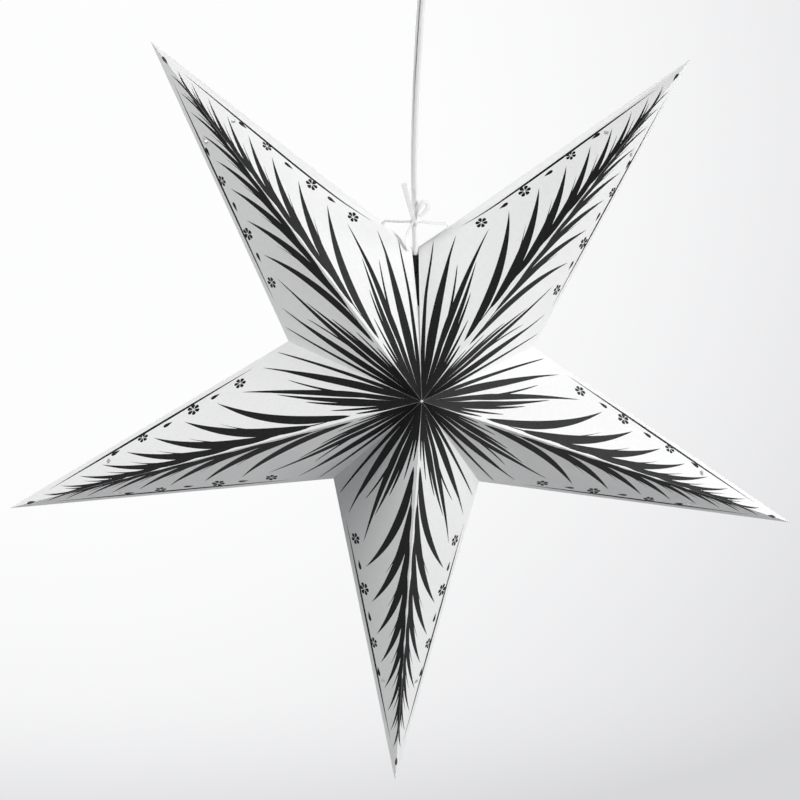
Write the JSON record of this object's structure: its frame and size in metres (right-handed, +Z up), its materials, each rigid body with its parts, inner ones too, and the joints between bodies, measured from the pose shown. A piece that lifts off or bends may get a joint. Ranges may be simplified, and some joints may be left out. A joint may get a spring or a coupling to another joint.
{
  "type": "paper star lantern",
  "caption": "Folded card star lantern with a printed face, hung by its flex round a small screw lamp holder.",
  "frame": {"origin": "centre of the ceiling fitting's top face, where it meets the ceiling", "axes": "+Z up, -Y towards the front of the star, +X to the right as seen from the front"},
  "size_m": [0.5912, 0.1984, 0.6536],
  "materials": {
    "card": "matt white card, printed in black",
    "ribbon": "white cotton tape",
    "holder": "black phenolic, glossy",
    "ceiling_fitting": "white, semi gloss",
    "flex": "white PVC sheath, satin",
    "insulator": "cream ceramic",
    "brass": "rolled brass",
    "bulb_metal": "nickel plated",
    "bulb_glass": "opal"
  },
  "bodies": {
    "pendant": {"ceiling_plate": "ceiling_fitting", "ceiling_cup": "ceiling_fitting", "cup_gland": "ceiling_fitting", "cord": "flex", "cord_grip": "holder", "holder_cap": "holder", "holder_body": "holder", "contact_block": "insulator", "screw_sleeve": "brass", "centre_contact": "brass"},
    "tie": {"tie_knot": "ribbon", "tie_loop": "ribbon", "tie_tail_up": "ribbon", "tie_tail_down": "ribbon"},
    "bulb": {"bulb_cap": "bulb_metal", "bulb_contact": "bulb_metal", "bulb_glass": "bulb_glass"},
    "arm1_front_left": {"arm1_front_left": "card", "tie_strand_right": "ribbon"},
    "arm1_back_left": {"arm1_back_left": "card"},
    "arm1_front_right": {"arm1_front_right": "card"},
    "arm1_back_right": {"arm1_back_right": "card"},
    "arm2_front_left": {"arm2_front_left": "card"},
    "arm2_back_left": {"arm2_back_left": "card"},
    "arm2_front_right": {"arm2_front_right": "card"},
    "arm2_back_right": {"arm2_back_right": "card"},
    "arm3_front_left": {"arm3_front_left": "card"},
    "arm3_back_left": {"arm3_back_left": "card"},
    "arm3_front_right": {"arm3_front_right": "card"},
    "arm3_back_right": {"arm3_back_right": "card"},
    "arm4_front_left": {"arm4_front_left": "card"},
    "arm4_back_left": {"arm4_back_left": "card"},
    "arm4_front_right": {"arm4_front_right": "card"},
    "arm4_back_right": {"arm4_back_right": "card"},
    "arm5_front_left": {"arm5_front_left": "card"},
    "arm5_back_left": {"arm5_back_left": "card"},
    "arm5_front_right": {"arm5_front_right": "card", "tie_strand_left": "ribbon"},
    "arm5_back_right": {"arm5_back_right": "card"}
  },
  "joints": [
    {"name": "star_turn", "type": "hinge", "parent": "pendant", "child": "tie", "pos_m": [0, 0, -0.221], "axis": [0, 0, 1], "range_deg": [-180, 180]},
    {"name": "bulb_out", "type": "slide", "parent": "pendant", "child": "bulb", "axis": [0, 0, -1], "range_m": [0, 0.03]},
    {"name": "fold_arm1_front_left", "type": "hinge", "parent": "arm1_front_right", "child": "arm1_front_left", "pos_m": [0, -0.1, -0.34], "axis": [-0.6026, -0.3017, -0.7388], "range_deg": [-0.5, 26.98]},
    {"name": "fold_arm1_back_left", "type": "hinge", "parent": "arm1_front_left", "child": "arm1_back_left", "pos_m": [0.0067, 0, -0.24423], "axis": [0.7914, 0, 0.6113], "range_deg": [-0.5, 26.04]},
    {"name": "fold_arm1_front_right", "type": "hinge", "parent": "arm2_front_left", "child": "arm1_front_right", "pos_m": [0, -0.1, -0.34], "axis": [0.667, 0.7214, 0.1862], "range_deg": [-0.5, 30.1]},
    {"name": "fold_arm1_back_right", "type": "hinge", "parent": "arm1_front_right", "child": "arm1_back_right", "pos_m": [0.09246, 0, -0.31418], "axis": [-0.4397, 0, -0.8981], "range_deg": [-0.5, 26.04]},
    {"name": "fold_arm2_front_left", "type": "hinge", "parent": "arm2_front_right", "child": "arm2_front_left", "pos_m": [0, -0.1, -0.34], "axis": [-0.8982, -0.3017, 0.3198], "range_deg": [-0.5, 26.98]},
    {"name": "fold_arm2_back_left", "type": "hinge", "parent": "arm2_front_left", "child": "arm2_back_left", "pos_m": [0.09246, 0, -0.31418], "axis": [0.8414, 0, -0.5404], "range_deg": [-0.5, 26.04]},
    {"name": "fold_arm2_front_right", "type": "hinge", "parent": "arm3_front_left", "child": "arm2_front_right", "pos_m": [0, -0.1, -0.34], "axis": [0.3992, 0.7214, -0.5659], "range_deg": [-0.5, 30.1]},
    {"name": "fold_arm2_back_right", "type": "hinge", "parent": "arm2_front_right", "child": "arm2_back_right", "pos_m": [0.05534, 0, -0.41845], "axis": [-0.9936, 0, 0.113], "range_deg": [-0.5, 26.04]},
    {"name": "fold_arm3_front_left", "type": "hinge", "parent": "tie", "child": "arm3_front_left", "pos_m": [0, -0.1, -0.34], "axis": [0, -0.3017, 0.9534], "range_deg": [-0.5, 13.74]},
    {"name": "fold_arm3_back_left", "type": "hinge", "parent": "arm3_front_left", "child": "arm3_back_left", "pos_m": [0.05534, 0, -0.41845], "axis": [-0.2269, 0, -0.9739], "range_deg": [-0.5, 26.04]},
    {"name": "seam_open", "type": "hinge", "parent": "tie", "child": "arm3_front_right", "pos_m": [0, -0.1, -0.34], "axis": [0, 0.3017, -0.9534], "range_deg": [0, 13.24]},
    {"name": "fold_arm3_back_right", "type": "hinge", "parent": "arm3_front_right", "child": "arm3_back_right", "pos_m": [-0.05534, 0, -0.41845], "axis": [-0.2269, 0, 0.9739], "range_deg": [-0.5, 26.04]},
    {"name": "fold_arm4_front_left", "type": "hinge", "parent": "arm3_front_right", "child": "arm4_front_left", "pos_m": [0, -0.1, -0.34], "axis": [0.3992, -0.7214, 0.5659], "range_deg": [-0.5, 30.1]},
    {"name": "fold_arm4_back_left", "type": "hinge", "parent": "arm4_front_left", "child": "arm4_back_left", "pos_m": [-0.05534, 0, -0.41845], "axis": [-0.9936, 0, -0.113], "range_deg": [-0.5, 26.04]},
    {"name": "fold_arm4_front_right", "type": "hinge", "parent": "arm4_front_left", "child": "arm4_front_right", "pos_m": [0, -0.1, -0.34], "axis": [-0.8982, 0.3017, -0.3198], "range_deg": [-0.5, 26.98]},
    {"name": "fold_arm4_back_right", "type": "hinge", "parent": "arm4_front_right", "child": "arm4_back_right", "pos_m": [-0.09246, 0, -0.31418], "axis": [0.8414, 0, 0.5404], "range_deg": [-0.5, 26.04]},
    {"name": "fold_arm5_front_left", "type": "hinge", "parent": "arm4_front_right", "child": "arm5_front_left", "pos_m": [0, -0.1, -0.34], "axis": [0.667, -0.7214, -0.1862], "range_deg": [-0.5, 30.1]},
    {"name": "fold_arm5_back_left", "type": "hinge", "parent": "arm5_front_left", "child": "arm5_back_left", "pos_m": [-0.09246, 0, -0.31418], "axis": [-0.4397, 0, 0.8981], "range_deg": [-0.5, 26.04]},
    {"name": "fold_arm5_front_right", "type": "hinge", "parent": "arm5_front_left", "child": "arm5_front_right", "pos_m": [0, -0.1, -0.34], "axis": [-0.6026, 0.3017, 0.7388], "range_deg": [-0.5, 26.98]},
    {"name": "fold_arm5_back_right", "type": "hinge", "parent": "arm5_front_right", "child": "arm5_back_right", "pos_m": [-0.0067, 0, -0.24423], "axis": [0.7914, 0, -0.6113], "range_deg": [-0.5, 26.04]}
  ],
  "couplings": [
    {"joint": "fold_arm1_front_left", "follows": "seam_open", "ratio": 2},
    {"joint": "fold_arm1_back_left", "follows": "seam_open", "ratio": 1.9285},
    {"joint": "fold_arm1_front_right", "follows": "seam_open", "ratio": 2.2352},
    {"joint": "fold_arm1_back_right", "follows": "seam_open", "ratio": 1.9285},
    {"joint": "fold_arm2_front_left", "follows": "seam_open", "ratio": 2},
    {"joint": "fold_arm2_back_left", "follows": "seam_open", "ratio": 1.9285},
    {"joint": "fold_arm2_front_right", "follows": "seam_open", "ratio": 2.2352},
    {"joint": "fold_arm2_back_right", "follows": "seam_open", "ratio": 1.9285},
    {"joint": "fold_arm3_front_left", "follows": "seam_open", "ratio": 1},
    {"joint": "fold_arm3_back_left", "follows": "seam_open", "ratio": 1.9285},
    {"joint": "fold_arm3_back_right", "follows": "seam_open", "ratio": 1.9285},
    {"joint": "fold_arm4_front_left", "follows": "seam_open", "ratio": 2.2352},
    {"joint": "fold_arm4_back_left", "follows": "seam_open", "ratio": 1.9285},
    {"joint": "fold_arm4_front_right", "follows": "seam_open", "ratio": 2},
    {"joint": "fold_arm4_back_right", "follows": "seam_open", "ratio": 1.9285},
    {"joint": "fold_arm5_front_left", "follows": "seam_open", "ratio": 2.2352},
    {"joint": "fold_arm5_back_left", "follows": "seam_open", "ratio": 1.9285},
    {"joint": "fold_arm5_front_right", "follows": "seam_open", "ratio": 2},
    {"joint": "fold_arm5_back_right", "follows": "seam_open", "ratio": 1.9285}
  ]
}
